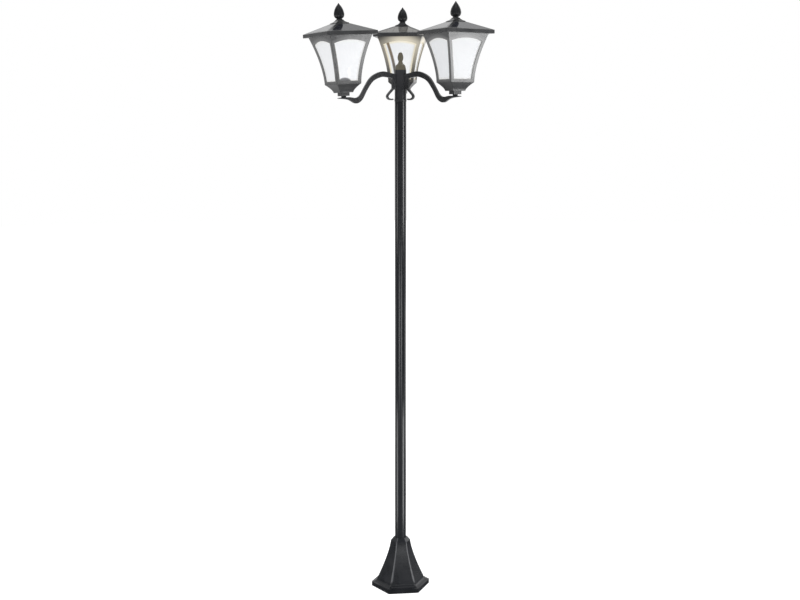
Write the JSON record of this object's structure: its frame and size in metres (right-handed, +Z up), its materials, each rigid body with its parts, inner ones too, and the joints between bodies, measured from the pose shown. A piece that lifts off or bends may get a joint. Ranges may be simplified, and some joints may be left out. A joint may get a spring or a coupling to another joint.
{
  "type": "triple head lamp post",
  "caption": "Tall round post on a flared hexagonal foot, with square tapered garden lanterns on scrolled arms around its top.",
  "frame": {"origin": "on the ground in the middle of the anchor plate, under the post's axis", "axes": "+Z up along the post; +Y from the post along the rear arm; the other two arms point 30 degrees forward of +X and of -X"},
  "size_m": [0.5651, 0.4945, 1.8375],
  "materials": {
    "black_resin": "satin",
    "black_coated_steel": "satin",
    "frosted_resin": "frosted translucent",
    "clear_resin": "clear",
    "solar_glass": "gloss",
    "zinc_steel": "zinc plated",
    "battery_sleeve": "gloss",
    "board_laminate": "semi gloss",
    "switch_resin": "gloss"
  },
  "bodies": {
    "post": {"hub": "black_resin", "hub_cap": "black_resin", "right_arm": "black_resin", "left_arm": "black_resin", "rear_arm": "black_resin", "swivel_knobs": "black_resin", "anchor_plate": "black_coated_steel", "post_socket": "black_coated_steel", "post_lower": "black_coated_steel", "post_middle": "black_coated_steel", "post_upper": "black_coated_steel", "post_joiners": "black_coated_steel", "post_screws": "zinc_steel", "arm_screws": "zinc_steel", "swivel_studs": "zinc_steel", "right_neck": "black_resin", "left_neck": "black_resin", "rear_neck": "black_resin"},
    "base_cover": {"base_cover": "black_resin"},
    "right_lantern": {"right_cup": "black_resin", "right_frame": "black_resin", "right_shade": "frosted_resin"},
    "right_roof": {"right_roof": "black_resin", "right_solar_panels": "solar_glass", "right_roof_cap": "black_resin", "right_finial": "black_resin", "right_light_housing": "black_resin", "right_circuit_board": "board_laminate", "right_battery": "battery_sleeve", "right_lens": "clear_resin", "right_module_screws": "zinc_steel"},
    "right_switch": {"right_switch": "switch_resin"},
    "left_lantern": {"left_cup": "black_resin", "left_frame": "black_resin", "left_shade": "frosted_resin"},
    "left_roof": {"left_roof": "black_resin", "left_solar_panels": "solar_glass", "left_roof_cap": "black_resin", "left_finial": "black_resin", "left_light_housing": "black_resin", "left_circuit_board": "board_laminate", "left_battery": "battery_sleeve", "left_lens": "clear_resin", "left_module_screws": "zinc_steel"},
    "left_switch": {"left_switch": "switch_resin"},
    "rear_lantern": {"rear_cup": "black_resin", "rear_frame": "black_resin", "rear_shade": "frosted_resin"},
    "rear_roof": {"rear_roof": "black_resin", "rear_solar_panels": "solar_glass", "rear_roof_cap": "black_resin", "rear_finial": "black_resin", "rear_light_housing": "black_resin", "rear_circuit_board": "board_laminate", "rear_battery": "battery_sleeve", "rear_lens": "clear_resin", "rear_module_screws": "zinc_steel"},
    "rear_switch": {"rear_switch": "switch_resin"}
  },
  "joints": [
    {"name": "base_cover_lift", "type": "slide", "parent": "post", "child": "base_cover", "axis": [0, 0, 1], "range_m": [0, 0.2]},
    {"name": "right_swivel", "type": "hinge", "parent": "post", "child": "right_lantern", "pos_m": [0.16498, -0.09525, 1.556], "axis": [0, 0, 1], "continuous": true},
    {"name": "right_roof_lift", "type": "slide", "parent": "right_lantern", "child": "right_roof", "axis": [0, 0, 1], "range_m": [0, 0.08]},
    {"name": "right_switch_slide", "type": "slide", "parent": "right_roof", "child": "right_switch", "axis": [0.5299, -0.848, 0], "range_m": [0, 0.004]},
    {"name": "left_swivel", "type": "hinge", "parent": "post", "child": "left_lantern", "pos_m": [-0.16498, -0.09525, 1.5512], "axis": [-0.0483, -0.0279, 0.9984], "continuous": true},
    {"name": "left_roof_lift", "type": "slide", "parent": "left_lantern", "child": "left_roof", "axis": [-0.0483, -0.0279, 0.9984], "range_m": [0, 0.08]},
    {"name": "left_switch_slide", "type": "slide", "parent": "left_roof", "child": "left_switch", "axis": [-0.8467, -0.5291, -0.0558], "range_m": [0, 0.004]},
    {"name": "rear_swivel", "type": "hinge", "parent": "post", "child": "rear_lantern", "pos_m": [0, 0.1905, 1.565], "axis": [0, 0, 1], "continuous": true},
    {"name": "rear_roof_lift", "type": "slide", "parent": "rear_lantern", "child": "rear_roof", "axis": [0, 0, 1], "range_m": [0, 0.08]},
    {"name": "rear_switch_slide", "type": "slide", "parent": "rear_roof", "child": "rear_switch", "axis": [0.1045, 0.9945, 0], "range_m": [0, 0.004]}
  ]
}
